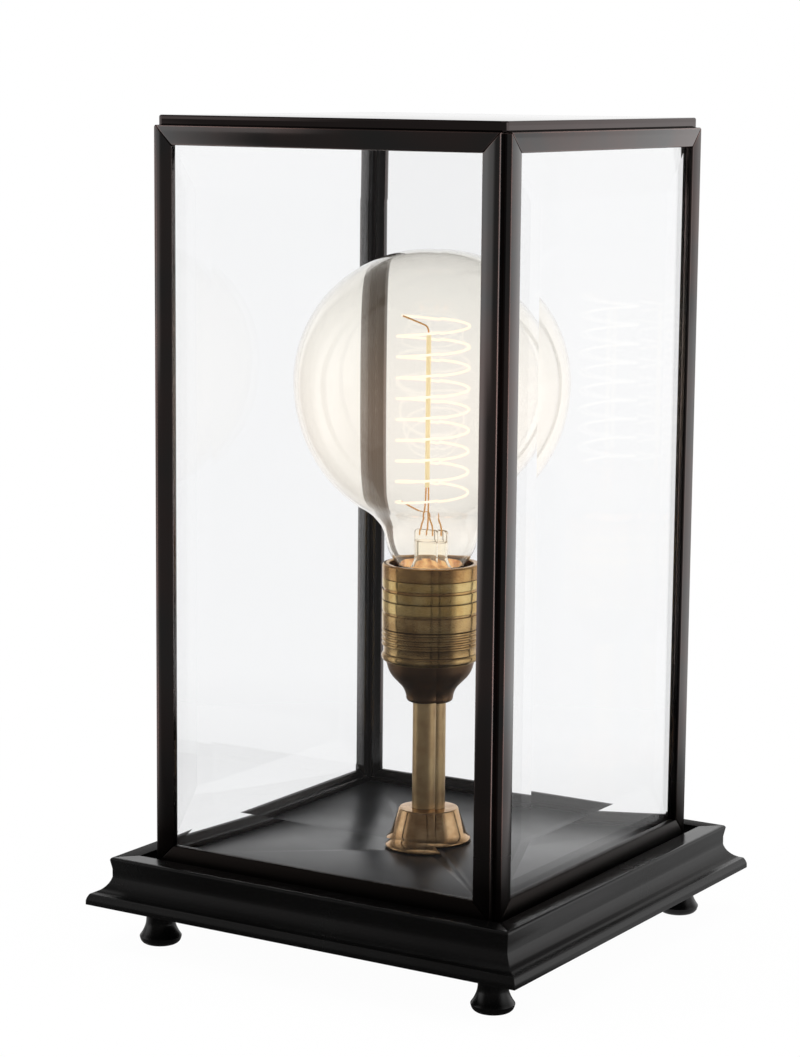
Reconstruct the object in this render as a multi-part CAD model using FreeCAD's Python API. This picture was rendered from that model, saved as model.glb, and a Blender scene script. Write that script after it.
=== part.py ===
import FreeCAD, Part
import math
import os

# Glass lantern table lamp: a bevelled glass case that stands in a groove of a moulded base,
# over a brass lampholder on a stem and a large clear globe bulb.
# Millimetres. Origin at the middle of the feet's resting plane, +Z up, front towards -Y.

# Sizes that can be set by themselves ------------------------------------------------------

# Chords that draw each turned arc, and how far a cutting tool runs past a face
arc_steps = 3
globe_steps = 12
globe_inner_steps = 6
cut_past = 1.0

# Feet
foot_height = 20.2
foot_neck_r = 6.7
foot_flare_out = 0.9         # the hollow flare's middle, out from the neck
foot_flare_z = 7.9
foot_wide_r = 9.9
foot_wide_z = 3.4
foot_rim_in = 0.35           # the rim's middle, in from the widest place
foot_rim_z = 1.4
foot_sole_r = 7.8
foot_top_r = 8.2
foot_top_band = 2.2
foot_top_taper = 4.5
foot_inset = 24.8            # from the base's widest edge to a foot's axis
foot_screw_r = 2.2
foot_screw_head_r = 4.2
foot_screw_head_height = 2.6
foot_screw_recess = 3.6
foot_screw_grip = 11.0       # length of shank inside the moulding
screw_hole_spare = 0.5       # depth of the hole past the screw's end
screw_fit = 0.05
screw_head_fit = 0.3
slot_width = 1.0

# Base moulding; the heights of its members follow each other from the rim's top down
base_half = 114.6            # half the widest outline
moulding_width = 40.6
lip_inset = 8.1              # from the widest outline in to the rim's outer face
lip_round = 1.4
lip_height = 5.6
lip_lean = 0.8               # how far the rim's outer face leans in
neck_band_height = 3.8       # upright band between the lip and the cove
cove_height = 7.5
cove_middle_out = 1.95       # the cove's middle, out from where it starts and below it
cove_middle_down = 3.95
nose_inset = 1.4             # from the widest outline in to the nose's upper edge
nose_height = 3.3
nose_bulge_in = 0.45         # the nose's middle, in from the widest outline
edge_band_height = 1.8
rim_width = 9.9
well_gap = 4.0               # between the case and the rim
ledge_depth = 2.5

# Floor panel and bottom cover
floor_thickness = 3.5
floor_gap = 0.9              # between the panel and the case
cover_thickness = 3.0
cover_lap = 6.5
cover_gap = 0.5
cover_screw_r = 1.5
cover_screw_head_r = 3.0
cover_screw_head_height = 1.4
cover_screw_grip = 8.0
cover_screws_per_side = 1

# Case
case_height = 339.2
facing_width = 8.8
facing_thickness = 3.6
core_width = 5.0
clip_width = 3.4             # pane clips on the posts' inner corners
clip_height = 3.2
clip_from_end = 37.0
cap_inset = 2.5
cap_thickness = 4.6
cap_corner_r = 3.0
cap_edge_r = 1.0

# Panes
pane_thickness = 5.0
pane_edge_thickness = 3.4
pane_bevel_width = 24.4
pane_gap = 0.1

# Stem and collar
stem_r = 5.65
stem_bore_r = 4.2
stem_clear = 51.4            # visible length between the collar and the lampholder
stem_fit = 0.05
stem_in_holder = 9.0
collar_height = 16.0
collar_top_r = 11.9
collar_bottom_r = 17.7
collar_foot_height = 1.4
collar_step = 1.0
collar_wall_r = 16.4
collar_edge = 0.5
washer_r = 12.0
washer_thickness = 1.5
nut_across_flats = 17.0
nut_thickness = 6.0
stem_below_nut = 2.0

# Cord inlet, in the back moulding
inlet_drop = 11.0
inlet_seat_inset = 8.6       # from the widest outline in to the flange's seat
inlet_seat_clear = 0.4
inlet_bore_r = 3.6
inlet_barrel_r = 5.0
inlet_barrel_length = 12.0
inlet_flange_r = 6.5
inlet_flange_thickness = 1.5
inlet_passage_r = 4.0
inlet_fit = 0.05

# Lampholder, pairs are (radius, height) and heights are counted from its lowest face
neck_low_r = 6.6
neck_turn = (8.3, 0.8)
holder_neck_r = 8.8
holder_neck_height = 2.3
dome_hollow = (9.9, 6.2)
dome_waist = (13.2, 10.0)    # where the dome turns from hollow to round
dome_round = (16.7, 14.1)
dome_top_in = 2.1            # from the shell's face in to the dome's top
hollow_rise = 3.0            # from the stem's end up to where the dome's inside opens
hollow_step_in = 1.6
hollow_step_down = 4.0
bead_z = 20.0
bead_height = 4.0
bead_proud = 0.3
bead_depth = 1.6
band_groove = 0.7
band_height = 3.2
rib_count = 4
rib_pitch = 2.3
rib_width = 1.5
rib_edge = 0.3
plain_band_height = 7.2
ring_groove_height = 0.9
sleeve_wall = 1.3
ring_wall = 1.65
lower_ring_height = 9.9
lower_ring_line = 0.6
lower_ring_line_at = 5.1
upper_ring_gap = 1.3
upper_ring_height = 4.5
ring_edge = 0.4
mouth_height = 6.7
mouth_wall = 3.2
mouth_round = 1.2
mouth_chamfer = 0.4
ring_fit = 0.05

# Lampholder's inner pieces
core_wall = 3.2
core_fit = 0.2
core_disc_thickness = 8.0
shell_wall = 0.6
contact_depth = 26.7         # from the mouth's top down to the centre contact's face
contact_r = 4.0
contact_height = 3.0
wire_hole_r = 3.0

# Bulb
bulb_r = 62.5
bulb_upper_height = 61.2
bulb_lower_height = 68.0
neck_top_r = 33.36           # where the globe ends and the neck starts
neck_rise = 2.3              # from the cap's top up to the neck's lowest step
bulb_wall = 0.8
bulb_cap_r = 13.2
bulb_cap_fit = 0.4
bulb_cap_length = 19.8
bulb_cap_wall = 0.4
bulb_cap_taper = 2.0
bulb_cap_lip = 1.0
bulb_tip_r = 4.7
bulb_tip_height = 1.6
bulb_tip_taper = 1.2
bulb_insulator_r = 11.0
bulb_insulator_height = 4.6
bulb_insulator_margin = 0.6
neck_steps = ((5.2, 3.0), (9.8, 7.2), (13.3, 12.5), (14.4, 17.5), (15.8, 22.2), (18.0, 26.0))
neck_in_cap = 4.5
neck_fit = 0.1

# What the bulb holds
press_foot_height = 2.0
press_shoulder = 5.0
press_r = 6.0
press_width = 15.0
press_depth = 4.0
press_height = 7.0
press_round = 1.8
press_overlap = 2.0
press_top_drop = 68.5
filament_r = 14.5
filament_wire_r = 0.65
filament_turns = 9
filament_chords = 16
filament_pitch = 9.7
filament_low_drop = 57.6
rod_r = 1.1
rod_low_drop = 49.5
rod_length = 72.0
wire_r = 0.4
wire_gap = 0.1               # between a lead's end and the filament
lead_spacing = 7.0
pair_spacing = 4.0
lead_bend_run = 8.0
hook_rise = 4.0
wire_in_press = 3.0

# Places worked out from the sizes ----------------------------------------------------------

cove_drop = lip_height + neck_band_height
nose_top_drop = cove_drop + cove_height
nose_drop = nose_top_drop + nose_height
base_height = nose_drop + edge_band_height
rim_z = foot_height + base_height
ledge_z = rim_z - ledge_depth
foot_centre = base_half - foot_inset
lip_half = base_half - lip_inset
cove_half = lip_half - lip_lean
nose_top_half = base_half - nose_inset
base_opening_half = base_half - moulding_width
well_half = lip_half - rim_width
case_half = well_half - well_gap
facing_back = case_half - facing_thickness
sight_half = facing_back - facing_width
core_inner = facing_back - core_width
pane_half = core_inner - pane_gap
pane_rise = (pane_thickness - pane_edge_thickness) * (pane_half - sight_half) / pane_bevel_width
pane_back = facing_back - pane_gap - pane_rise - pane_edge_thickness
case_top_z = ledge_z + case_height
floor_half = core_inner - floor_gap
floor_z = ledge_z + floor_thickness
collar_top_z = floor_z + collar_height
holder_z = collar_top_z + stem_clear
bead_top_z = holder_z + bead_z + bead_height
ribs_height = rib_count * rib_pitch - (rib_pitch - rib_width)
rings_z = bead_top_z + band_height + ribs_height + plain_band_height + ring_groove_height
upper_ring_z = rings_z + lower_ring_height + upper_ring_gap
mouth_z = upper_ring_z + upper_ring_height
mouth_top_z = mouth_z + mouth_height
screw_shell_r = bulb_cap_r + bulb_cap_fit
core_bore_r = screw_shell_r + shell_wall
core_r = core_bore_r + core_wall
sleeve_bore_r = core_r + core_fit
sleeve_r = sleeve_bore_r + sleeve_wall
holder_r = sleeve_r + ring_fit + ring_wall
bulb_contact_z = mouth_top_z - contact_depth
contact_z = bulb_contact_z - contact_height
bulb_cap_low_z = bulb_contact_z + bulb_tip_height + bulb_insulator_height
bulb_cap_top_z = bulb_cap_low_z + bulb_cap_length
neck_angle = math.acos(neck_top_r / bulb_r)
neck_top_z = bulb_cap_top_z + neck_rise + neck_steps[-1][1]
bulb_mid_z = neck_top_z + bulb_lower_height * math.sin(neck_angle)
neck_low_z = bulb_cap_top_z - neck_in_cap
neck_end_r = bulb_cap_r - bulb_cap_wall - neck_fit
inlet_z = rim_z - inlet_drop
inlet_seat_y = base_half - inlet_seat_inset
inlet_barrel_y = inlet_seat_y - inlet_barrel_length

os.makedirs("parts", exist_ok=True)


def save(name, shape):
    shape.exportStep("parts/" + name + ".step")


def point(r, z):
    return FreeCAD.Vector(r, 0, z)


def line(start, end):
    return Part.LineSegment(start, end).toShape()


def arc(start, through, end):
    return Part.Arc(start, through, end).toShape()


def bend(start, through, end):
    """Arc through three (radius, height) points, as the corners of short chords."""
    curve = Part.Arc(point(*start), point(*through), point(*end)).toShape()
    return [(spot.x, spot.z) for spot in curve.discretize(arc_steps + 1)]


def turned(outline):
    """Solid of revolution with straight stretches between (radius, height) points."""
    points = [point(r, z) for r, z in outline]
    face = Part.Face(Part.makePolygon(points + points[:1]))
    return face.revolve(FreeCAD.Vector(0, 0, 0), FreeCAD.Vector(0, 0, 1), 360)


def tube(outer_r, inner_r, low, high):
    return turned([(inner_r, low), (outer_r, low), (outer_r, high), (inner_r, high)])


def rod(r, start, end):
    start = FreeCAD.Vector(*start)
    run = FreeCAD.Vector(*end) - start
    return Part.makeCylinder(r, run.Length, start, run)


def prism(points, run):
    """Flat outline moved along run; points are full vectors."""
    return Part.Face(Part.makePolygon(points + points[:1])).extrude(run)


def plate(half, low, high):
    size = 2 * half
    return Part.makeBox(size, size, high - low, FreeCAD.Vector(-half, -half, low))


def upright_edges(shape):
    return [edge for edge in shape.Edges if abs(edge.tangentAt(0).z) > 0.9]


def turn(shape, quarter):
    """Copy of a front piece on another side: 0 front, 1 right, 2 back, 3 left."""
    copy = shape.copy()
    copy.rotate(FreeCAD.Vector(0, 0, 0), FreeCAD.Vector(0, 0, 1), 90 * quarter)
    return copy


sides = ("front", "right", "back", "left")
corners = ("front_right", "back_right", "back_left", "front_left")

# Feet: turned spools, each held by a screw from below ---------------------------------------


def foot():
    neck_z = foot_height - foot_top_band - foot_top_taper
    wide = (foot_wide_r, foot_wide_z)
    sole = bend((foot_sole_r, 0), (foot_wide_r - foot_rim_in, foot_rim_z), wide)
    flare = bend(wide, (foot_neck_r + foot_flare_out, foot_flare_z), (foot_neck_r, neck_z))
    top = foot_height - foot_top_band
    bore = foot_screw_r + screw_fit
    recess = foot_screw_head_r + screw_head_fit
    return turned(
        [(recess, 0)] + sole + flare[1:]
        + [(foot_top_r, top), (foot_top_r, foot_height), (bore, foot_height)]
        + [(bore, foot_screw_recess), (recess, foot_screw_recess)]
    )


def foot_screw():
    shank_top = foot_height + foot_screw_grip
    head_low = foot_screw_recess - foot_screw_head_height
    shank = rod(foot_screw_r, (0, 0, head_low), (0, 0, shank_top))
    head = rod(foot_screw_head_r, (0, 0, head_low), (0, 0, foot_screw_recess))
    slot = Part.makeBox(2 * foot_screw_head_r, slot_width, slot_width)
    slot.translate(FreeCAD.Vector(-foot_screw_head_r, -0.5 * slot_width, head_low))
    return shank.fuse(head).cut(slot).removeSplitter()


def at_corner(shape, quarter):
    """Copy of an upright piece at a foot's axis."""
    copy = shape.copy()
    copy.translate(FreeCAD.Vector(foot_centre, -foot_centre, 0))
    return turn(copy, quarter)


save("feet", Part.makeCompound([at_corner(foot(), n) for n in range(4)]))
save("foot_screws", Part.makeCompound([at_corner(foot_screw(), n) for n in range(4)]))

# Base: four lengths of moulding, mitred ------------------------------------------------------


def moulding_section():
    """Section of the front moulding; the outline looks along +X, outside towards -Y."""

    def p(half, drop):
        return FreeCAD.Vector(0, -half, rim_z - drop)

    cover_half = base_opening_half + cover_lap
    cover_seat_drop = base_height - cover_thickness
    lip_in = lip_round * (1 - math.sqrt(0.5))
    nose_middle_drop = nose_top_drop + 0.5 * nose_height
    edges = [
        line(p(base_opening_half, ledge_depth), p(well_half, ledge_depth)),
        line(p(well_half, ledge_depth), p(well_half, 0)),
        line(p(well_half, 0), p(lip_half - lip_round, 0)),
        arc(p(lip_half - lip_round, 0), p(lip_half - lip_in, lip_in), p(lip_half, lip_round)),
        line(p(lip_half, lip_round), p(cove_half, lip_height)),
        line(p(cove_half, lip_height), p(cove_half, cove_drop)),
        arc(p(cove_half, cove_drop), p(cove_half + cove_middle_out, cove_drop + cove_middle_down),
            p(nose_top_half, nose_top_drop)),
        arc(p(nose_top_half, nose_top_drop), p(base_half - nose_bulge_in, nose_middle_drop),
            p(base_half, nose_drop)),
        line(p(base_half, nose_drop), p(base_half, base_height)),
        line(p(base_half, base_height), p(cover_half, base_height)),
        line(p(cover_half, base_height), p(cover_half, cover_seat_drop)),
        line(p(cover_half, cover_seat_drop), p(base_opening_half, cover_seat_drop)),
        line(p(base_opening_half, cover_seat_drop), p(base_opening_half, ledge_depth)),
    ]
    return Part.Face(Part.Wire(edges))


def mitre_wedge(low, high):
    """Quarter of the plan that belongs to the front side."""
    reach = base_half + cut_past
    corners_of_wedge = [
        FreeCAD.Vector(0, 0, low),
        FreeCAD.Vector(-reach, -reach, low),
        FreeCAD.Vector(reach, -reach, low),
    ]
    return prism(corners_of_wedge, FreeCAD.Vector(0, 0, high - low))


def cover_screw_places():
    """Places of the front side's cover screws, in a row under the moulding."""
    across = base_opening_half + 0.5 * cover_lap
    step = 2 * base_opening_half / (cover_screws_per_side + 1)
    first = -base_opening_half + step
    return [(first + step * n, -across) for n in range(cover_screws_per_side)]


def cover_screw_shank(x, y, r):
    low = foot_height
    return rod(r, (x, y, low), (x, y, low + cover_thickness + cover_screw_grip))


def front_moulding():
    section = moulding_section()
    section.translate(FreeCAD.Vector(-base_half, 0, 0))
    bar = section.extrude(FreeCAD.Vector(2 * base_half, 0, 0))
    bar = bar.common(mitre_wedge(foot_height - cut_past, rim_z + cut_past))
    for x, y in cover_screw_places():
        bar = bar.cut(cover_screw_shank(x, y, cover_screw_r + screw_fit))
    hole_top = foot_height + foot_screw_grip + screw_hole_spare
    hole = rod(foot_screw_r + screw_fit, (0, 0, 0), (0, 0, hole_top))
    return bar.cut(at_corner(hole, 0)).cut(at_corner(hole, 3))


def across_back(r, start_y, end_y):
    """Round bar along the cord inlet's axis."""
    return rod(r, (0, start_y, inlet_z), (0, end_y, inlet_z))


def inlet_cut():
    """Seat, barrel hole and cord passage of the inlet, on the back side."""
    seat = across_back(inlet_flange_r + inlet_seat_clear, inlet_seat_y, base_half + cut_past)
    barrel = across_back(inlet_barrel_r + inlet_fit, inlet_barrel_y, inlet_seat_y)
    passage = across_back(inlet_passage_r, base_opening_half - cut_past, inlet_barrel_y)
    return seat.fuse(barrel).fuse(passage)


def inlet_bushing():
    flange_y = inlet_seat_y + inlet_flange_thickness
    flange = across_back(inlet_flange_r, inlet_seat_y, flange_y)
    barrel = across_back(inlet_barrel_r, inlet_barrel_y, inlet_seat_y)
    bore = across_back(inlet_bore_r, inlet_barrel_y - cut_past, flange_y + cut_past)
    return flange.fuse(barrel).cut(bore)


for quarter, side in enumerate(sides):
    moulding = turn(front_moulding(), quarter)
    if side == "back":
        moulding = moulding.cut(inlet_cut())
    save("base_moulding_" + side, moulding)
save("cord_inlet_bushing", inlet_bushing())


def cover_screw_head(x, y, r):
    return rod(r, (x, y, foot_height), (x, y, foot_height + cover_screw_head_height))


def bottom_cover():
    half = base_opening_half + cover_lap - cover_gap
    panel = plate(half, foot_height, foot_height + cover_thickness)
    for quarter in range(4):
        for x, y in cover_screw_places():
            panel = panel.cut(turn(cover_screw_shank(x, y, cover_screw_r + screw_fit), quarter))
            head = cover_screw_head(x, y, cover_screw_head_r + screw_head_fit)
            panel = panel.cut(turn(head, quarter))
    return panel


def cover_screws():
    screws = []
    for quarter in range(4):
        for x, y in cover_screw_places():
            head = cover_screw_head(x, y, cover_screw_head_r)
            shank = cover_screw_shank(x, y, cover_screw_r)
            screws.append(turn(head.fuse(shank).removeSplitter(), quarter))
    return Part.makeCompound(screws)


save("bottom_cover", bottom_cover())
save("cover_screws", cover_screws())


def floor_panel():
    panel = plate(floor_half, ledge_z, floor_z)
    return panel.cut(rod(stem_r + stem_fit, (0, 0, ledge_z - cut_past), (0, 0, floor_z + cut_past)))


save("floor_panel", floor_panel())

# Case: posts and rails of square core bar under mitred facings, glazed from inside -----------


def square_bar(inner, outer, low, high):
    """Upright bar at the front right corner between two distances from the middle."""
    size = outer - inner
    return Part.makeBox(size, size, high - low, FreeCAD.Vector(inner, -outer, low))


def pane_clips():
    """Two small lugs on the core's inner corner that keep both panes from falling inwards."""
    outer = pane_back - pane_gap
    inner = outer - clip_width
    low = ledge_z + clip_from_end
    high = case_top_z - clip_from_end
    low_clip = square_bar(inner, outer, low, low + clip_height)
    return low_clip.fuse(square_bar(inner, outer, high - clip_height, high))


def facing(points):
    """Front facing strip with its outline given as (x, z) points."""
    outline = [FreeCAD.Vector(x, -case_half, z) for x, z in points]
    return prism(outline, FreeCAD.Vector(0, facing_thickness, 0))


def upright_facing():
    """Right-hand strip of the front frame, mitred at both ends."""
    low_sight = ledge_z + facing_width
    high_sight = case_top_z - facing_width
    return facing([
        (facing_back, ledge_z), (facing_back, case_top_z),
        (sight_half, high_sight), (sight_half, low_sight),
    ])


def post():
    core = square_bar(core_inner, facing_back, ledge_z, case_top_z)
    right_strip = upright_facing()
    far_strip = right_strip.mirror(FreeCAD.Vector(0, 0, 0), FreeCAD.Vector(1, 0, 0))
    solid = core.fuse(pane_clips()).fuse(right_strip).fuse(turn(far_strip, 1))
    return solid.removeSplitter()


def rail(edge_z, inward):
    """Front rail; edge_z is its outer edge and inward is 1 for the bottom rail, -1 for the top."""
    low = min(edge_z, edge_z + inward * core_width)
    corner = FreeCAD.Vector(-core_inner, -facing_back, low)
    core = Part.makeBox(2 * core_inner, core_width, core_width, corner)
    sight_z = edge_z + inward * facing_width
    strip = facing([
        (-facing_back, edge_z), (facing_back, edge_z), (sight_half, sight_z), (-sight_half, sight_z),
    ])
    return core.fuse(strip).removeSplitter()


def pane():
    """Front pane, flat inside and bevelled all round outside."""
    low = ledge_z + core_width + pane_gap
    high = case_top_z - core_width - pane_gap
    edge_y = -pane_back - pane_edge_thickness
    face_y = -pane_back - pane_thickness

    def outline(y, inset):
        x = pane_half - inset
        z_low = low + inset
        z_high = high - inset
        spots = [(-x, z_low), (x, z_low), (x, z_high), (-x, z_high), (-x, z_low)]
        return Part.makePolygon([FreeCAD.Vector(a, y, b) for a, b in spots])

    run = FreeCAD.Vector(0, -pane_edge_thickness, 0)
    edge_band = Part.Face(outline(-pane_back, 0)).extrude(run)
    bevels = Part.makeLoft([outline(edge_y, 0), outline(face_y, pane_bevel_width)], True, True)
    return edge_band.fuse(bevels).removeSplitter()


for quarter, corner in enumerate(corners):
    save("case_post_" + corner, turn(post(), quarter))
for quarter, side in enumerate(sides):
    save("case_rail_top_" + side, turn(rail(case_top_z, -1), quarter))
    save("case_rail_bottom_" + side, turn(rail(ledge_z, 1), quarter))
    save("pane_" + side, turn(pane(), quarter))


def cap_plate():
    top_z = case_top_z + cap_thickness
    body = plate(case_half - cap_inset, case_top_z, top_z)
    body = body.makeFillet(cap_corner_r, upright_edges(body))
    rim = [edge for edge in body.Edges if edge.BoundBox.ZMin > top_z - 0.01]
    return body.makeFillet(cap_edge_r, rim)


save("cap_plate", cap_plate())

# Stem: a brass tube through the collar and the floor panel, with a nut below -----------------


def collar():
    bore = stem_r + stem_fit
    lip_z = floor_z + collar_foot_height
    return turned([
        (bore, floor_z), (collar_bottom_r - collar_edge, floor_z),
        (collar_bottom_r, floor_z + collar_edge), (collar_bottom_r, lip_z - collar_edge),
        (collar_wall_r, lip_z + collar_step), (collar_top_r, collar_top_z - collar_edge),
        (collar_top_r - collar_edge, collar_top_z), (bore, collar_top_z),
    ])


def stem_nut():
    high = ledge_z - washer_thickness
    corner_r = nut_across_flats / math.sqrt(3)
    spots = [math.radians(60 * n) for n in range(6)]
    outline = [
        FreeCAD.Vector(corner_r * math.cos(a), corner_r * math.sin(a), high - nut_thickness)
        for a in spots
    ]
    hexagon = prism(outline, FreeCAD.Vector(0, 0, nut_thickness))
    return hexagon.cut(rod(stem_r + stem_fit, (0, 0, high - nut_thickness), (0, 0, high)))


stem_low_z = ledge_z - washer_thickness - nut_thickness - stem_below_nut
stem_high_z = holder_z + stem_in_holder
save("collar", collar())
save("stem_tube", tube(stem_r, stem_bore_r, stem_low_z, stem_high_z))
save("stem_washer", tube(washer_r, stem_r + stem_fit, ledge_z - washer_thickness, ledge_z))
save("stem_nut", stem_nut())

# Lampholder: turned brass, screwed onto the stem ---------------------------------------------


def holder_dome():
    """Trumpet neck and rounded shoulder under a half-round bead, hollow from above."""
    bore = stem_r + stem_fit
    bead_top = bead_z + bead_height
    bead_r = holder_r + bead_proud
    bead_side_r = bead_r - bead_depth
    neck_top = (holder_neck_r, holder_neck_height)
    outline = [(bore, 0)]
    outline += bend((neck_low_r, 0), neck_turn, neck_top)
    outline += bend(neck_top, dome_hollow, dome_waist)[1:]
    outline += bend(dome_waist, dome_round, (holder_r - dome_top_in, bead_z))[1:]
    outline += bend((bead_side_r, bead_z), (bead_r, bead_z + 0.5 * bead_height), (bead_side_r, bead_top))
    outline.append((sleeve_bore_r, bead_top))
    outline.append((sleeve_bore_r - hollow_step_in, bead_top - hollow_step_down))
    outline.append((bore, stem_in_holder + hollow_rise))
    return turned([(r, holder_z + up) for r, up in outline])


def holder_shell():
    """Ribbed lower shell with the threaded sleeve that carries the shade rings."""
    groove_r = holder_r - band_groove
    outline = [(sleeve_bore_r, bead_top_z), (groove_r, bead_top_z)]
    for n in range(rib_count):
        start = bead_top_z + band_height + n * rib_pitch
        outline.append((groove_r, start))
        outline.append((holder_r, start + rib_edge))
        outline.append((holder_r, start + rib_width - rib_edge))
        outline.append((groove_r, start + rib_width))
    band_low = bead_top_z + band_height + ribs_height
    band_high = band_low + plain_band_height
    outline.append((holder_r, band_low + rib_edge))
    outline.append((holder_r, band_high - rib_edge))
    outline.append((groove_r, band_high))
    outline.append((groove_r, rings_z))
    outline.append((sleeve_r, rings_z))
    outline.append((sleeve_r, mouth_z))
    outline.append((sleeve_bore_r, mouth_z))
    return turned(outline)


def shade_ring(low, height, lines):
    """Threaded ring; lines lists the heights of the fine grooves turned in its face."""
    bore = sleeve_r + ring_fit
    outline = [(bore, low), (holder_r - ring_edge, low), (holder_r, low + ring_edge)]
    for at in lines:
        outline.append((holder_r, low + at))
        outline.append((holder_r - lower_ring_line, low + at))
        outline.append((holder_r - lower_ring_line, low + at + lower_ring_line))
        outline.append((holder_r, low + at + lower_ring_line))
    outline.append((holder_r, low + height - ring_edge))
    outline.append((holder_r - ring_edge, low + height))
    outline.append((bore, low + height))
    return turned(outline)


def ring_spacer():
    """Shallow collar between the two shade rings."""
    low = rings_z + lower_ring_height
    return tube(holder_r - band_groove, sleeve_r + ring_fit, low, upper_ring_z)


def mouth_ring():
    inner = holder_r - mouth_wall
    soft = mouth_round * (1 - math.sqrt(0.5))
    roll = bend((holder_r, mouth_top_z - mouth_round), (holder_r - soft, mouth_top_z - soft),
                (holder_r - mouth_round, mouth_top_z))
    return turned(
        [(inner, mouth_z), (holder_r - ring_edge, mouth_z), (holder_r, mouth_z + ring_edge)] + roll
        + [(inner + mouth_chamfer, mouth_top_z), (inner, mouth_top_z - mouth_chamfer)]
    )


def holder_core():
    """Insulator: a thick disc with a wall that lines the sleeve."""
    low = contact_z - core_disc_thickness
    body = turned([
        (0, low), (core_r, low), (core_r, mouth_z), (core_bore_r, mouth_z),
        (core_bore_r, contact_z), (0, contact_z),
    ])
    for side in (-1, 1):
        x = side * 0.5 * core_bore_r
        body = body.cut(rod(wire_hole_r, (x, 0, low - cut_past), (x, 0, contact_z + cut_past)))
    return body


save("holder_dome", holder_dome())
save("holder_shell", holder_shell())
save("shade_ring_lower", shade_ring(rings_z, lower_ring_height, [lower_ring_line_at]))
save("shade_ring_upper", shade_ring(upper_ring_z, upper_ring_height, []))
save("ring_spacer", ring_spacer())
save("mouth_ring", mouth_ring())
save("holder_core", holder_core())
save("holder_screw_shell", tube(core_bore_r, screw_shell_r, contact_z, mouth_z))
save("holder_centre_contact", rod(contact_r, (0, 0, contact_z), (0, 0, bulb_contact_z)))

# Bulb: clear globe with a screw cap ----------------------------------------------------------


def globe(wall, steps):
    """Solid of the globe's outline, drawn in by wall, with steps chords from neck to top."""
    wide = bulb_r - wall
    above = round(0.6 * steps)
    below = steps - above
    angles = [-neck_angle * (below - n) / below for n in range(below)]
    angles += [0.5 * math.pi * n / above for n in range(above + 1)]
    outline = []
    for angle in angles:
        height = bulb_upper_height if angle > 0 else bulb_lower_height
        up = (height - wall) * math.sin(angle)
        outline.append((max(wide * math.cos(angle), 0), bulb_mid_z + up))
    neck_r, neck_z = outline[0]
    throat = [(neck_r - back, neck_z - drop) for back, drop in neck_steps]
    end_r = neck_end_r - wall
    end = [(0, neck_low_z), (end_r, neck_low_z), (end_r, bulb_cap_top_z + neck_fit)]
    return turned(end + throat[::-1] + outline)


def bulb_cap():
    """Screw cap: straight wall that takes the neck, tapered in to a lip under the insulator."""
    low = bulb_cap_low_z
    high = bulb_cap_top_z
    taper_top = low + bulb_cap_taper
    inner_r = bulb_cap_r - bulb_cap_wall
    lip_r = bulb_insulator_r - bulb_cap_lip
    return turned([
        (lip_r, low), (bulb_insulator_r, low), (bulb_cap_r, taper_top), (bulb_cap_r, high),
        (inner_r, high), (inner_r, taper_top + 0.5 * bulb_cap_wall), (lip_r, low + bulb_cap_wall),
    ])


def bulb_insulator():
    low = bulb_contact_z + bulb_tip_height
    high = low + bulb_insulator_height
    return turned([
        (0, low), (bulb_tip_r + bulb_insulator_margin, low),
        (bulb_insulator_r - bulb_cap_lip, high), (0, high),
    ])


def bulb_tip():
    low = bulb_contact_z
    high = low + bulb_tip_height
    return turned([(0, low), (bulb_tip_r - bulb_tip_taper, low), (bulb_tip_r, high), (0, high)])


def stem_press():
    """Glass foot inside the neck, drawn in to a stalk that is pinched round the lead wires."""
    foot_r = neck_end_r - bulb_wall - neck_fit
    pinch = press_top_z - press_height
    stalk_top = pinch + press_overlap
    foot_top = neck_low_z + press_foot_height
    flare = turned([
        (0, neck_low_z), (foot_r, neck_low_z), (foot_r, foot_top),
        (press_r, foot_top + press_shoulder), (press_r, stalk_top), (0, stalk_top),
    ])
    flat = Part.makeBox(press_width, press_depth, press_height)
    flat.translate(FreeCAD.Vector(-0.5 * press_width, -0.5 * press_depth, pinch))
    flat = flat.makeFillet(press_round, upright_edges(flat))
    return flare.fuse(flat)


def wire(r, spots):
    """Bent wire through the given places, with a ball in each bend."""
    solid = rod(r, spots[0], spots[1])
    for start, end in zip(spots[1:], spots[2:]):
        solid = solid.fuse(Part.makeSphere(r, FreeCAD.Vector(*start))).fuse(rod(r, start, end))
    return solid


rod_low_z = bulb_mid_z - rod_low_drop
rod_high_z = rod_low_z + rod_length
press_top_z = bulb_mid_z - press_top_drop
coil_low_z = bulb_mid_z - filament_low_drop
coil_high_z = coil_low_z + filament_turns * filament_pitch


def filament():
    """Coil of short straight lengths, bent from six-sided wire."""
    count = filament_turns * filament_chords
    spots = []
    for n in range(count + 1):
        angle = 2 * math.pi * n / filament_chords
        x = filament_r * math.cos(angle)
        y = filament_r * math.sin(angle)
        spots.append(FreeCAD.Vector(x, y, coil_low_z + n * filament_pitch / filament_chords))
    heading = (spots[1] - spots[0]).normalize()
    across = heading.cross(FreeCAD.Vector(1, 0, 0)).normalize()
    beside = across.cross(heading)
    ring = []
    for n in range(6):
        angle = math.pi * n / 3
        out = across * math.sin(angle) + beside * math.cos(angle)
        ring.append(spots[0] + out * filament_wire_r)
    path = Part.makePolygon(spots)
    return path.makePipeShell([Part.makePolygon(ring + ring[:1])], True, False, 1)


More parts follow.
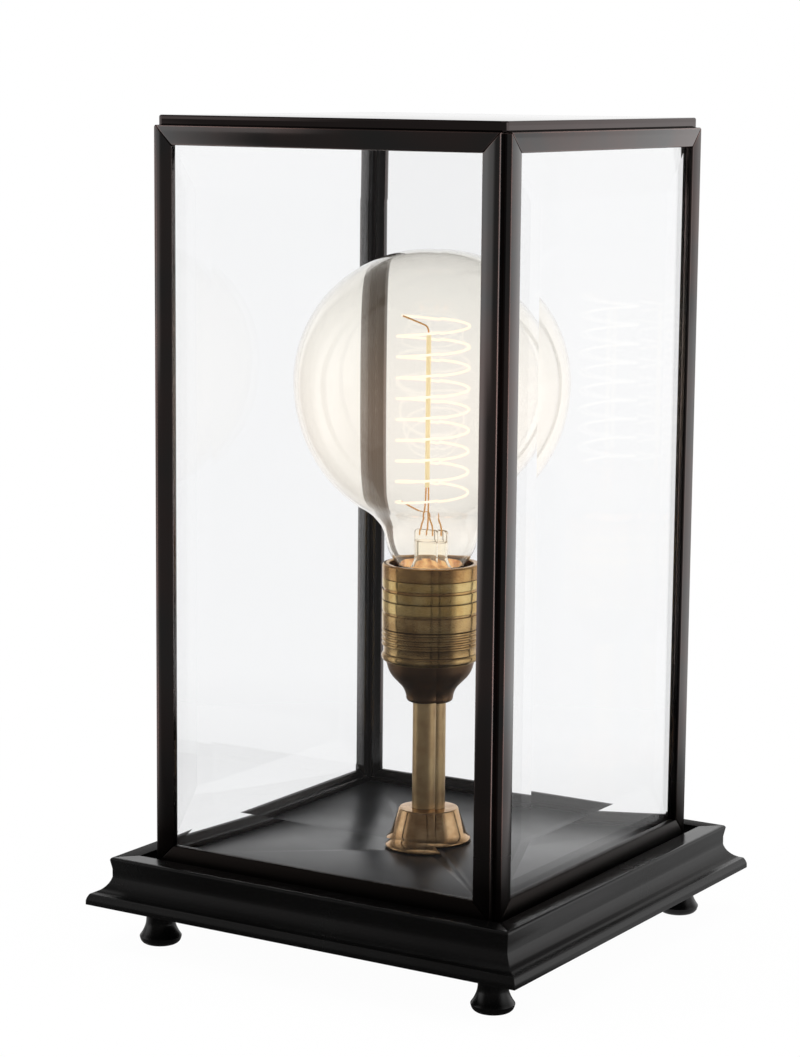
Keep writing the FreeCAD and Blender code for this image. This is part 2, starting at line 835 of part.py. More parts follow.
def lead_wires():
    """A pair up to the rod, and one wire out to each end of the filament."""
    reach = filament_r - filament_wire_r - wire_r - wire_gap
    pair = 0.5 * pair_spacing
    spread = 0.5 * lead_spacing
    root_z = press_top_z - wire_in_press
    bend_z = press_top_z + lead_bend_run
    low_lead = wire(wire_r, [
        (spread, 0, root_z), (spread, 0, press_top_z), (pair, 0, bend_z),
        (pair, 0, rod_low_z - lead_bend_run), (reach, 0, coil_low_z),
    ])
    rod_lead = wire(wire_r, [
        (-spread, 0, root_z), (-spread, 0, press_top_z), (0, 0, bend_z), (0, 0, rod_low_z),
    ])
    top_hook = wire(wire_r, [
        (0, 0, rod_high_z), (0, 0, rod_high_z + hook_rise), (reach, 0, coil_high_z),
    ])
    return Part.makeCompound([low_lead, rod_lead, top_hook])


save("bulb_glass", globe(0, globe_steps).cut(globe(bulb_wall, globe_inner_steps)))
save("bulb_cap", bulb_cap())
save("bulb_cap_insulator", bulb_insulator())
save("bulb_contact_tip", bulb_tip())
save("bulb_stem_press", stem_press())
save("filament_rod", rod(rod_r, (0, 0, rod_low_z), (0, 0, rod_high_z)))
save("filament", filament())
save("filament_wires", lead_wires())
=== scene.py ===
import math

import bmesh
import bpy
from mathutils import Matrix, Vector


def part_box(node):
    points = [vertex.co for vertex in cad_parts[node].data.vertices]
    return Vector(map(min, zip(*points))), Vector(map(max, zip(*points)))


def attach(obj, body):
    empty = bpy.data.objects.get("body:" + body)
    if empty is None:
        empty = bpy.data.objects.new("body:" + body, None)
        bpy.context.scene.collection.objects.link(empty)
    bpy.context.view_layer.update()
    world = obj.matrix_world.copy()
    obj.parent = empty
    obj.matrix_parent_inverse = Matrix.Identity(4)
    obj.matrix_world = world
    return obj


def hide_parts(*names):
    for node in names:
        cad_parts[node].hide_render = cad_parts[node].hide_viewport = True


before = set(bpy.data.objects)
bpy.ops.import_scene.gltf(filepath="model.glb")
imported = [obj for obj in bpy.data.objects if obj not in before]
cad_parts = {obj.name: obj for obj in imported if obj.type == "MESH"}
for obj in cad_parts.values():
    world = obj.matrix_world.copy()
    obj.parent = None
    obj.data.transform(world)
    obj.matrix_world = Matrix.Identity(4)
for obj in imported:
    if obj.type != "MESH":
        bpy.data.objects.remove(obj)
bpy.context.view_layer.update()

scene = bpy.context.scene
mm = 0.001

# ---- The table and the room ------------------------------------------------------------------
# A pale matt table top that runs on into a white studio. What polished pieces mirror is white
# behind the lamp and at both its sides, where soft boxes stand, and dim on the front side,
# where the studio's lights are off, with a soft panel overhead.


def linear(code, alpha=1.0):
    """Linear colour for an sRGB hex value such as 8a7340."""
    parts = [int(code[n:n + 2], 16) / 255 for n in (0, 2, 4)]
    lit = [p / 12.92 if p <= 0.04045 else ((p + 0.055) / 1.055) ** 2.4 for p in parts]
    return (*lit, alpha)


def add(tree, kind, settings=None, links=None):
    """Adds a node; settings are its properties or input values, links are what feeds its inputs."""
    made = tree.nodes.new(kind)
    for key, value in (settings or {}).items():
        if isinstance(key, str) and hasattr(made, key):
            setattr(made, key, value)
        else:
            made.inputs[key].default_value = value
    for key, source in (links or {}).items():
        tree.links.new(source, made.inputs[key])
    return made


def new_material(name):
    """A material without nodes, and its node tree."""
    made = bpy.data.materials.new(name)
    made.use_nodes = True
    made.node_tree.nodes.clear()
    return made, made.node_tree


def fill_ramp(ramp, stops):
    """Sets a colour ramp from (position, colour) stops, given from left to right."""
    for n, (spot, colour) in enumerate(stops):
        stop = ramp.elements[n] if n < 2 else ramp.elements.new(spot)
        stop.position = spot
        stop.color = colour


# Azimuths in degrees from the front, to the right, and the strength there, where white is 1.
studio_round = (
    (-180, 1.0), (-113, 1.0), (-107, 0.35), (-86, 0.3), (-78, 0.9), (-54, 0.9), (-46, 0.6),
    (-38, 0.5), (-33, 0.11), (74, 0.11), (86, 0.5), (95, 1.0), (112, 1.0), (130, 0.65),
    (150, 0.9), (180, 1.0),
)
table_round = (
    (-180, 1.0), (-113, 1.0), (-107, 0.35), (-86, 0.3), (-78, 0.9), (-54, 0.9), (-47, 0.45),
    (-40, 0.11), (74, 0.11), (86, 0.5), (95, 1.0), (112, 1.0), (130, 0.9), (150, 1.0),
    (180, 1.0),
)
# Sine of the height above the table, and the share of that strength.
studio_upwards = ((0.0, 1.0), (0.22, 1.0), (0.5, 0.55), (0.8, 0.08), (1.0, 0.05))
dim_warmth = (1.0, 0.96, 0.94)
overhead_from = 0.88
overhead_full = 0.94
overhead_strength = 0.8


def warmed(strength):
    """Colour of that strength, where 1 is white and dimmer is a little warm."""
    return (*(strength * (1 - (1 - tone) * (1 - strength)) for tone in dim_warmth), 1)


def studio_mirrored(tree, direction, around):
    """Colour of what lies that way from the lamp: white, a warm dimness on the front side, and
    the panel overhead."""
    parts = add(tree, "ShaderNodeSeparateXYZ", None, {0: direction})
    ahead = add(tree, "ShaderNodeMath", {"operation": "MULTIPLY", 1: -1.0},
                {0: parts.outputs["Y"]})
    azimuth = add(tree, "ShaderNodeMath", {"operation": "ARCTAN2"},
                  {0: parts.outputs["X"], 1: ahead.outputs[0]})
    turn = add(tree, "ShaderNodeMapRange", {"From Min": -math.pi, "From Max": math.pi},
               {"Value": azimuth.outputs[0]})
    sideways = add(tree, "ShaderNodeValToRGB", None, {"Fac": turn.outputs["Result"]})
    upwards = add(tree, "ShaderNodeValToRGB", None, {"Fac": parts.outputs["Z"]})
    fill_ramp(sideways.color_ramp, [((a + 180) / 360, warmed(s)) for a, s in around])
    fill_ramp(upwards.color_ramp, [(height, warmed(s)) for height, s in studio_upwards])
    both = add(tree, "ShaderNodeVectorMath", {"operation": "MULTIPLY"},
               {0: sideways.outputs["Color"], 1: upwards.outputs["Color"]})
    overhead = add(tree, "ShaderNodeMapRange", {
        "From Min": overhead_from, "From Max": overhead_full, "To Max": overhead_strength},
        {"Value": parts.outputs["Z"]})
    whole = add(tree, "ShaderNodeVectorMath", {"operation": "MAXIMUM"},
                {0: both.outputs[0], 1: overhead.outputs["Result"]})
    return whole.outputs[0]


def ray_switches(tree):
    """Two switches. The first is 1 for what the camera sees, also through glass or in a mirror,
    and 0 for soft light. The second is 1 only for what is seen in a mirror."""
    path = add(tree, "ShaderNodeLightPath")
    straight = add(tree, "ShaderNodeMath", {"operation": "MAXIMUM"},
                   {0: path.outputs["Is Camera Ray"], 1: path.outputs["Is Glossy Ray"]})
    seen = add(tree, "ShaderNodeMath", {"operation": "MAXIMUM"},
               {0: straight.outputs[0], 1: path.outputs["Is Transmission Ray"]})
    mirrored = add(tree, "ShaderNodeMath", {"operation": "MINIMUM", 1: 1.0},
                   {0: path.outputs["Glossy Depth"]})
    return seen.outputs[0], mirrored.outputs[0]


table_radius = 9.0
table_sides = 64
shadow_from = 0.12           # the soft shadow round the lamp, as the camera sees it
shadow_reach = 0.5
shadow_share = 0.975
near_from = 0.28             # the lamp's own shadow, as polished pieces mirror it
near_to = 0.50
near_share = 0.5

table_paper, tree = new_material("white_paper")
seen, mirrored = ray_switches(tree)
place = add(tree, "ShaderNodeTexCoord")
spread = add(tree, "ShaderNodeVectorMath", {"operation": "LENGTH"}, {0: place.outputs["Object"]})
fade = add(tree, "ShaderNodeMapRange", {
    "From Min": shadow_from, "From Max": shadow_reach, "To Min": shadow_share, "To Max": 1.0},
    {"Value": spread.outputs["Value"]})
share = add(tree, "ShaderNodeMath", {"operation": "MULTIPLY"},
            {0: fade.outputs["Result"], 1: seen})
near = add(tree, "ShaderNodeMapRange", {
    "From Min": near_from, "From Max": near_to, "To Min": near_share, "To Max": 1.0},
    {"Value": spread.outputs["Value"]})
studio = add(tree, "ShaderNodeVectorMath", {"operation": "SCALE"}, {
    0: studio_mirrored(tree, place.outputs["Object"], table_round),
    "Scale": near.outputs["Result"]})
level = add(tree, "ShaderNodeMix", {"data_type": "RGBA", 6: (1, 1, 1, 1)},
            {0: mirrored, 7: studio.outputs[0]})
paper = add(tree, "ShaderNodeBsdfDiffuse", {"Color": linear("f2f2f2")})
glow = add(tree, "ShaderNodeEmission", {"Strength": 1.0}, {"Color": level.outputs[2]})
whole = add(tree, "ShaderNodeMath", {"operation": "MAXIMUM"},
            {0: share.outputs[0], 1: mirrored})
mixed = add(tree, "ShaderNodeMixShader", None,
            {0: whole.outputs[0], 1: paper.outputs[0], 2: glow.outputs[0]})
add(tree, "ShaderNodeOutputMaterial", None, {"Surface": mixed.outputs[0]})

shape = bmesh.new()
bmesh.ops.create_circle(shape, cap_ends=True, radius=table_radius, segments=table_sides)
mesh = bpy.data.meshes.new("table_top")
shape.to_mesh(mesh)
shape.free()
table_top = bpy.data.objects.new("table_top", mesh)
scene.collection.objects.link(table_top)
mesh.materials.append(table_paper)

room_light = 0.6
world = bpy.data.worlds.new("white_studio")
scene.world = world
world.use_nodes = True
tree = world.node_tree
tree.nodes.clear()
seen, mirrored = ray_switches(tree)
place = add(tree, "ShaderNodeTexCoord")
studio = studio_mirrored(tree, place.outputs["Generated"], studio_round)
soft_level = add(tree, "ShaderNodeMix", {
    "data_type": "RGBA", 6: (room_light, room_light, room_light, 1), 7: (1, 1, 1, 1)}, {0: seen})
level = add(tree, "ShaderNodeMix", {"data_type": "RGBA"},
            {0: mirrored, 6: soft_level.outputs[2], 7: studio})
sky = add(tree, "ShaderNodeBackground", {"Strength": 1.0}, {"Color": level.outputs[2]})
add(tree, "ShaderNodeOutputWorld", None, {"Surface": sky.outputs[0]})

# ---- Camera ----------------------------------------------------------------------------------
# A long lens from the front right, a little above the lamp.

camera_place = Vector((0.6871, -1.1296, 0.4024))
camera_turn = math.radians(31.895)
camera_dip = math.radians(9.023)
camera_roll = math.radians(0.524)
sensor_mm = 36.0
lens_mm = 97.51
camera_data = bpy.data.cameras.new("camera")
camera_data.sensor_width = sensor_mm
camera_data.lens = lens_mm
camera = bpy.data.objects.new("camera", camera_data)
scene.collection.objects.link(camera)
camera.matrix_world = (
    Matrix.Translation(camera_place)
    @ Matrix.Rotation(camera_turn, 4, "Z")
    @ Matrix.Rotation(math.pi / 2 - camera_dip, 4, "X")
    @ Matrix.Rotation(camera_roll, 4, "Z")
)
scene.camera = camera
scene.view_settings.view_transform = "Standard"

# ---- Lamps -----------------------------------------------------------------------------------
# Two tall soft boxes and a ceiling panel give plain soft light. Their mirror images are the
# studio's white sides, so the lamps themselves don't show in polished pieces.


def soft_box(name, place, target, width, height, watts):
    """Rectangular area lamp that shines from its place towards the target."""
    data = bpy.data.lights.new(name, "AREA")
    data.shape = "RECTANGLE"
    data.size = width
    data.size_y = height
    data.energy = watts
    lamp = bpy.data.objects.new(name, data)
    scene.collection.objects.link(lamp)
    lamp.visible_glossy = False
    lamp.visible_transmission = False
    way = Vector(target) - Vector(place)
    turned = way.to_track_quat("-Z", "Y").to_matrix().to_4x4()
    lamp.matrix_world = Matrix.Translation(Vector(place)) @ turned
    return lamp


lamp_middle = (0, 0, 0.2)
soft_box("left_soft_box", place=(-1.5, -0.9, 0.9), target=lamp_middle,
         width=0.7, height=1.4, watts=16)
soft_box("right_soft_box", place=(1.7, 0.5, 0.9), target=lamp_middle,
         width=0.7, height=1.4, watts=16)
soft_box("ceiling_panel", place=(0, 0, 2.2), target=(0, 0, 0), width=1.6, height=1.6, watts=22)

# ---- Base: four lengths of moulding ----------------------------------------------------------
# Machined wood with a cove and a rounded nose, mitred at the corners and glued. Sprayed satin
# black, so it shows soft reflections, a faint orange peel and slightly rubbed edges.

weld = 0.001 * mm            # points nearer than this are one
cad_weld = 0.002 * mm        # the same for the corners of CAD triangles
flat_within = 0.5            # degrees


def rubbed_edges(tree, width_mm, worn_cosine):
    """1 along corners and 0 on open faces, from how far a softened normal leans off the true
    one: worn_cosine is the cosine of that lean where an edge is wholly rubbed."""
    soft = add(tree, "ShaderNodeBevel", {"samples": 4, "Radius": width_mm * mm})
    true = add(tree, "ShaderNodeNewGeometry")
    same = add(tree, "ShaderNodeVectorMath", {"operation": "DOT_PRODUCT"},
               {0: soft.outputs[0], 1: true.outputs["Normal"]})
    edge = add(tree, "ShaderNodeMapRange", {"From Min": 0.995, "From Max": worn_cosine},
               {"Value": same.outputs["Value"]})
    return edge.outputs["Result"]


def coated(name, first, second, cloud_mm, rough, grain_mm, depth_mm, worn=None,
           stretch=(1, 1, 1), **surface):
    """Finish that drifts between two colours and two roughnesses in clouds, over a fine grain.
    worn is the colour of rubbed edges and how wide in millimetres they are."""
    made, tree = new_material(name)
    place = add(tree, "ShaderNodeTexCoord")
    along = add(tree, "ShaderNodeMapping", {"Scale": stretch}, {"Vector": place.outputs["Object"]})
    cloud = add(tree, "ShaderNodeTexNoise", {"Scale": 1 / (cloud_mm * mm), "Detail": 4.0},
                {"Vector": along.outputs["Vector"]})
    grain = add(tree, "ShaderNodeTexNoise", {"Scale": 1 / (grain_mm * mm), "Detail": 2.0},
                {"Vector": along.outputs["Vector"]})
    mottled = add(tree, "ShaderNodeMix", {
        "data_type": "RGBA", 6: linear(first), 7: linear(second)}, {0: cloud.outputs["Fac"]})
    colour = mottled.outputs[2]
    if worn:
        worn_colour, worn_mm = worn
        rubbed = add(tree, "ShaderNodeMath", {"operation": "MULTIPLY"},
                     {0: rubbed_edges(tree, worn_mm, worn_cosine=0.90), 1: cloud.outputs["Fac"]})
        edged = add(tree, "ShaderNodeMix", {"data_type": "RGBA", 7: linear(worn_colour)},
                    {0: rubbed.outputs[0], 6: colour})
        colour = edged.outputs[2]
    roughness = add(tree, "ShaderNodeMapRange", {
        "From Min": 0.3, "From Max": 0.7, "To Min": rough[0], "To Max": rough[1]},
        {"Value": cloud.outputs["Fac"]})
    relief = add(tree, "ShaderNodeBump", {"Strength": 1.0, "Distance": depth_mm * mm},
                 {"Height": grain.outputs["Fac"]})
    coat = add(tree, "ShaderNodeBsdfPrincipled", surface, {
        "Base Color": colour, "Roughness": roughness.outputs["Result"],
        "Normal": relief.outputs["Normal"]})
    add(tree, "ShaderNodeOutputMaterial", None, {"Surface": coat.outputs[0]})
    return made


def finished(shape, name, material, body, nodes, sharp=28):
    """Makes the piece: merged, faces outwards, smooth but for edges sharper than the angle."""
    bmesh.ops.remove_doubles(shape, verts=shape.verts, dist=weld)
    bmesh.ops.recalc_face_normals(shape, faces=shape.faces)
    mesh = bpy.data.meshes.new(name)
    shape.to_mesh(mesh)
    shape.free()
    for face in mesh.polygons:
        face.use_smooth = True
    mesh.set_sharp_from_angle(angle=math.radians(sharp))
    mesh.materials.append(material)
    piece = bpy.data.objects.new(name, mesh)
    scene.collection.objects.link(piece)
    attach(piece, body)
    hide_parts(*nodes)
    return piece


def merged_copy(node):
    """Copy of a CAD piece with its triangles merged into whole faces."""
    shape = bmesh.new()
    shape.from_mesh(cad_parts[node].data)
    bmesh.ops.remove_doubles(shape, verts=shape.verts, dist=cad_weld)
    whole_faces(shape)
    return shape


def whole_faces(shape):
    """Takes out the edges that lie across flat faces."""
    bmesh.ops.dissolve_limit(shape, angle_limit=math.radians(flat_within),
                             use_dissolve_boundaries=False, verts=shape.verts,
                             edges=shape.edges, delimit={"NORMAL"})


def eased(shape, width_mm, crease=30):
    """Takes the outer corners off a shape, as sanding or a deburring tool leaves them."""
    creases = [edge for edge in shape.edges
               if edge.is_manifold and edge.is_convex
               and edge.calc_face_angle() > math.radians(crease)]
    bmesh.ops.bevel(shape, geom=creases, offset=width_mm * mm, offset_type="OFFSET", segments=2,
                    profile=0.5, affect="EDGES", material=-1, clamp_overlap=True)
    return shape


def painted(node, material):
    """Gives a CAD piece its finish."""
    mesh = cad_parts[node].data
    if not mesh.materials:
        mesh.materials.append(material)
    for n in range(len(mesh.materials)):
        mesh.materials[n] = material


sides = ("front", "right", "back", "left")
corners = ("front_right", "back_right", "back_left", "front_left")
sanded = 0.3                 # how far the corners of wood, sheet and bushing are eased
satin_lacquer = coated("satin_black_lacquer_on_wood", "040404", "060606", 30.0, (0.2, 0.28),
                       1.4, 0.006, worn=("161515", 0.5), IOR=1.45)
for side in sides:
    node = "base_moulding_" + side
    finished(eased(merged_copy(node), sanded), "moulding_" + side, satin_lacquer, "base",
             [node])

# ---- Feet ------------------------------------------------------------------------------------
# Turned wooden spools, sprayed with the base and screwed on from below. Each flares from a
# narrow neck to a sharp rim over a rounded sole.


def spun(outline, steps=128, closed=True):
    """Turns a list of (radius, height) points in millimetres about the upright axis.
    A third value rounds that corner, and a fourth says in how many steps."""
    shape = bmesh.new()
    spots = [shape.verts.new((spot[0] * mm, 0, spot[1] * mm)) for spot in outline]
    pairs = list(zip(spots, spots[1:])) + ([(spots[-1], spots[0])] if closed else [])
    for pair in pairs:
        shape.edges.new(pair)
    for spot, given in zip(spots, outline):
        if len(given) > 2:
            bmesh.ops.bevel(shape, geom=[spot], offset=given[2] * mm, offset_type="OFFSET",
                            segments=given[3] if len(given) > 3 else 4, profile=0.5,
                            affect="VERTICES", material=-1)
    bmesh.ops.spin(shape, geom=shape.verts[:] + shape.edges[:], cent=(0, 0, 0), axis=(0, 0, 1),
                   dvec=(0, 0, 0), angle=2 * math.pi, steps=steps, use_merge=True,
                   use_duplicate=False)
    bmesh.ops.remove_doubles(shape, verts=shape.verts, dist=weld)
    bmesh.ops.dissolve_degenerate(shape, dist=weld, edges=shape.edges)
    return shape


def move_into(whole, part):
    """Adds the faces of one shape to another and frees the first."""
    mesh = bpy.data.meshes.new("part")
    part.to_mesh(mesh)
    part.free()
    whole.from_mesh(mesh)
    bpy.data.meshes.remove(mesh)


foot_bore_r = 2.25
foot_recess_r = 4.5
foot_recess = 3.6
foot_sole_r = 8.9
foot_wide_r = 9.9
foot_waist_r = 7.6
foot_neck_r = 6.6
foot_throat_r = 6.7
foot_head_r = 8.2
foot_steps = 96
foot_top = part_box("feet")[1].z / mm
foot_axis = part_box("feet")[1].x / mm - foot_wide_r
foot_outline = [
    (foot_bore_r, foot_recess), (foot_recess_r, foot_recess), (foot_recess_r, 0.0),
    (foot_sole_r, 0.0, 2.2, 6), (foot_wide_r, 3.5, 0.25, 3), (foot_waist_r, 6.8, 2.6, 6),
    (foot_neck_r, 11.0, 2.6, 6), (foot_throat_r, 14.6, 1.6, 4), (foot_head_r, 18.0, 0.6),
    (foot_head_r, foot_top), (foot_bore_r, foot_top),
]
feet = bmesh.new()
for quarter in range(4):
    spool = spun(foot_outline, steps=foot_steps)
    move = Matrix.Rotation(math.pi / 2 * quarter, 4, "Z") @ Matrix.Translation(
        (foot_axis * mm, -foot_axis * mm, 0))
    bmesh.ops.transform(spool, matrix=move, verts=spool.verts)
    move_into(feet, spool)
finished(feet, "turned_feet", satin_lacquer, "base", ["feet"])

# ---- Floor panel -----------------------------------------------------------------------------
# Sheet metal panel in dark grey satin enamel, which spreads what it mirrors into a soft sheen.

grey_enamel = coated("dark_grey_satin_enamel", "292c31", "31353b", 45.0, (0.28, 0.34), 0.6, 0.003,
                     IOR=1.8)
finished(eased(merged_copy("floor_panel"), sanded), "floor_plate", grey_enamel, "base",
         ["floor_panel"])

# ---- Bottom cover and screws -----------------------------------------------------------------
# Hardboard painted black, with a fibrous face, held by zinc-plated screws. The nut and washer
# on the stem are plated like the screws.

hardboard = coated("painted_hardboard", "1a1613", "2b2520", 1.6, (0.6, 0.85), 0.8, 0.05,
                   stretch=(1, 0.25, 1), IOR=1.5)
painted("bottom_cover", hardboard)
zinc_plate = coated("zinc_plated_steel", "9a9a98", "b9b8b2", 1.0, (0.25, 0.42), 0.4, 0.004,
                    Metallic=1.0)
for node in ("cover_screws", "foot_screws", "stem_nut", "stem_washer"):
    painted(node, zinc_plate)

# ---- Cord inlet ------------------------------------------------------------------------------
# Moulded nylon bushing pressed into the back moulding, fine matt texture from the tool.

black_nylon = coated("moulded_black_nylon", "121212", "181818", 4.0, (0.42, 0.58), 0.25, 0.01,
                     IOR=1.53)
finished(eased(merged_copy("cord_inlet_bushing"), sanded), "inlet_bushing", black_nylon, "base",
         ["cord_inlet_bushing"])

# ---- Stem and collar -------------------------------------------------------------------------
# Drawn brass tube and a turned cone, aged brown and wiped back, then lacquered. The lathe left
# fine rings, which stretch reflections up and down. The corners are darker: brown stays in them,
# and painted shade is added.

lower_tone_fade = 0.6


def aged_brass(name, light, dark, corner, rough=(0.13, 0.2), film=0.0, below=None):
    """Lathe-turned brass between two tones, with a darker tone in the corners: brown left there,
    and painted shade.
    film is how much of it lies under a dull brown film that doesn't mirror. below is a height
    in millimetres under which the brass takes another, darker tone and roughness, given with it."""
    made, tree = new_material(name)
    place = add(tree, "ShaderNodeTexCoord")
    cloud = add(tree, "ShaderNodeTexNoise", {"Scale": 1 / (9.0 * mm), "Detail": 5.0},
                {"Vector": place.outputs["Object"]})
    ring_place = add(tree, "ShaderNodeMapping", {"Scale": (0.01, 0.01, 1)},
                     {"Vector": place.outputs["Object"]})
    rings = add(tree, "ShaderNodeTexNoise", {"Scale": 1 / (1.5 * mm), "Detail": 1.0},
                {"Vector": ring_place.outputs["Vector"]})
    share = add(tree, "ShaderNodeMapRange", {"From Min": 0.35, "From Max": 0.65},
                {"Value": cloud.outputs["Fac"]})
    wiped = add(tree, "ShaderNodeMix", {"data_type": "RGBA", 6: linear(dark), 7: linear(light)},
                {0: share.outputs["Result"]})
    # A darker tone in the corners: the brown left in them, and painted shade.
    corner_shading = add(tree, "ShaderNodeAmbientOcclusion", {"samples": 16, "Distance": 0.8 * mm})
    open_share = add(tree, "ShaderNodeMapRange", {"From Min": 0.35, "From Max": 0.8},
                     {"Value": corner_shading.outputs["AO"]})
    colour = add(tree, "ShaderNodeMix", {"data_type": "RGBA", 6: linear(corner)},
                 {0: open_share.outputs["Result"], 7: wiped.outputs[2]})
    roughness = add(tree, "ShaderNodeMapRange", {
        "From Min": 0.3, "From Max": 0.7, "To Min": rough[0], "To Max": rough[1]},
        {"Value": cloud.outputs["Fac"]})
    tone, gloss = colour.outputs[2], roughness.outputs["Result"]
    if below:
        height, lower_tone, lower_rough = below
        level = add(tree, "ShaderNodeSeparateXYZ", None, {0: place.outputs["Object"]})
        above = add(tree, "ShaderNodeMapRange", {
            "From Min": (height - lower_tone_fade) * mm, "From Max": height * mm},
            {"Value": level.outputs["Z"]})
        toned = add(tree, "ShaderNodeMix", {"data_type": "RGBA", 6: linear(lower_tone)},
                    {0: above.outputs["Result"], 7: tone})
        matt = add(tree, "ShaderNodeMix", {"data_type": "FLOAT", 2: lower_rough},
                   {0: above.outputs["Result"], 3: gloss})
        tone, gloss = toned.outputs[2], matt.outputs[0]
    relief = add(tree, "ShaderNodeBump", {"Strength": 1.0, "Distance": 0.0006 * mm},
                 {"Height": rings.outputs["Fac"]})
    coat = add(tree, "ShaderNodeBsdfPrincipled", {"Metallic": 1.0 - film}, {
        "Base Color": tone, "Roughness": gloss, "Normal": relief.outputs["Normal"]})
    add(tree, "ShaderNodeOutputMaterial", None, {"Surface": coat.outputs[0]})
    return made


stem_brass = aged_brass("aged_drawn_brass", "dabd8c", "c2a074", "5a4426", (0.34, 0.42), 0.24)
collar_brass = aged_brass("aged_brown_brass", "e0bc90", "bc9264", "5a3a26", (0.1, 0.16), 0.05)

seat_fit = 0.05              # between a turned piece and what it slides over
stem_bore_r = 4.2
stem_low, stem_high = (spot.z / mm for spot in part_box("stem_tube"))
stem_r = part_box("stem_tube")[1].x / mm
finished(spun([
    (stem_r, stem_low), (stem_r, stem_high), (stem_bore_r, stem_high), (stem_bore_r, stem_low),
]), "stem", stem_brass, "base", ["stem_tube"])

collar_foot_r = 16.9
collar_rim_r = 17.7
collar_step_r = 17.6
cone_foot_r = 15.9
cone_top_r = 11.9
collar_top_r = 11.5
collar_low, collar_top = (spot.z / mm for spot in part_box("collar"))
bore_r = stem_r + seat_fit
finished(spun([
    (bore_r, collar_low), (collar_foot_r, collar_low, 0.3), (collar_rim_r, collar_low + 0.8, 0.4),
    (collar_step_r, collar_low + 1.5, 0.3), (cone_foot_r, collar_low + 2.8, 1.8, 8),
    (cone_top_r, collar_top - 0.4, 0.3), (collar_top_r, collar_top, 0.15), (bore_r, collar_top),
]), "stem_collar", collar_brass, "base", ["collar"])

# ---- Lampholder ------------------------------------------------------------------------------
# Turned and drawn brass: a trumpet-shaped dome with a bead, a ribbed shell, two shade rings on
# a threaded sleeve and a duller mouth ring. Below its bead the dome is darker and matt.

dome_low, dome_top = (spot.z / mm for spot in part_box("holder_dome"))
bead_height = 4.0
bead_low = dome_top - bead_height
darker_below_bead = (bead_low - 0.1, "84664a", 0.42)

ring_brass = aged_brass("wiped_bright_brass", "e2c688", "cfaa68", "33240f", (0.12, 0.17), 0.12)
shell_brass = aged_brass("aged_lacquered_brass", "cbab76", "ae8c5c", "2e2014", (0.13, 0.19), 0.06)
dome_brass = aged_brass("aged_brass_darker_below_bead_on_dome", "cbab76", "ae8c5c", "2e2014",
                        (0.13, 0.19), 0.06, below=darker_below_bead)
dull_brass = aged_brass("aged_dull_brass", "d4ac70", "b88c58", "3a2a1a", (0.15, 0.24), 0.08)

# Roundings of corners: millimetres and steps.
bead_round = (1.7, 6)
ring_round = (0.4, 4)
rib_round = (0.6, 6)
line_round = (0.2, 3)
groove_round = (0.12, 2)

bead_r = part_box("holder_dome")[1].x / mm
bead_root_r = 19.3
dome_neck_r = 8.8
holder_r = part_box("holder_shell")[1].x / mm
groove_r = holder_r - 0.7
sleeve_r = 18.9
sleeve_bore_r = 17.6
finished(spun([
    (bore_r, dome_low), (dome_neck_r, dome_low, 1.9, 6), (8.95, dome_low + 5.4, 3.6, 8),
    (17.0, dome_low + 13.7, 3.0, 8), (18.5, bead_low - 0.6, 1.0, 3), (18.6, bead_low),
    (bead_root_r, bead_low, 0.1, 2), (bead_r, bead_low + 0.2, *bead_round),
    (bead_r, dome_top - 0.2, *bead_round), (bead_root_r, dome_top), (sleeve_bore_r, dome_top),
    (16.0, dome_top - bead_height), (bore_r, dome_low + 12),
]), "dome", dome_brass, "base", ["holder_dome"])

rib_count = 4
rib_pitch = 2.3
rib_width = 1.5
rib_low = dome_top + 3.2
band_low = rib_low + (rib_count - 1) * rib_pitch + rib_width
band_high = band_low + 7.2
rings_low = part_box("shade_ring_lower")[0].z / mm
shell_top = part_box("holder_shell")[1].z / mm
outline = [(sleeve_bore_r, dome_top), (groove_r, dome_top)]
for n in range(rib_count):
    low = rib_low + n * rib_pitch
    outline += [
        (groove_r, low, *groove_round), (holder_r, low + 0.1, *rib_round),
        (holder_r, low + rib_width - 0.1, *rib_round), (groove_r, low + rib_width, *groove_round),
    ]
outline += [
    (holder_r, band_low + 0.3, *line_round), (holder_r, band_high - 0.3, *line_round),
    (groove_r, band_high, *groove_round), (groove_r, rings_low), (sleeve_r, rings_low),
    (sleeve_r, shell_top), (sleeve_bore_r, shell_top),
]
finished(spun(outline), "ribbed_shell", shell_brass, "base", ["holder_shell"])

lower_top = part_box("shade_ring_lower")[1].z / mm
line_low = rings_low + 5.1
line_width = 0.6
line_r = holder_r - 0.6
ring_bore_r = sleeve_r + seat_fit
finished(spun([
    (ring_bore_r, rings_low), (holder_r, rings_low, *ring_round), (holder_r, line_low, *line_round),
    (line_r, line_low + 0.1), (line_r, line_low + 0.5),
    (holder_r, line_low + line_width, *line_round), (holder_r, lower_top, *ring_round),
    (ring_bore_r, lower_top),
]), "lower_ring", ring_brass, "base", ["shade_ring_lower"])
upper_low, upper_top = (spot.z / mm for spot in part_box("shade_ring_upper"))
finished(spun([
    (ring_bore_r, upper_low), (holder_r, upper_low, *ring_round),
    (holder_r, upper_top, *ring_round), (ring_bore_r, upper_top),
]), "upper_ring", ring_brass, "base", ["shade_ring_upper"])
spacer_eased = 0.1
finished(eased(merged_copy("ring_spacer"), spacer_eased), "spacer", dull_brass, "base",
         ["ring_spacer"])
mouth_low, mouth_top = (spot.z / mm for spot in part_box("mouth_ring"))
mouth_bore_r = 17.4
finished(spun([
    (mouth_bore_r, mouth_low), (holder_r, mouth_low, *ring_round), (holder_r, mouth_top, 1.2, 6),
    (mouth_bore_r, mouth_top, 0.5, 4),
]), "mouth", dull_brass, "base", ["mouth_ring"])

# ---- Lampholder's inner pieces ---------------------------------------------------------------
# Glazed porcelain core with a bright brass screw shell and contact.

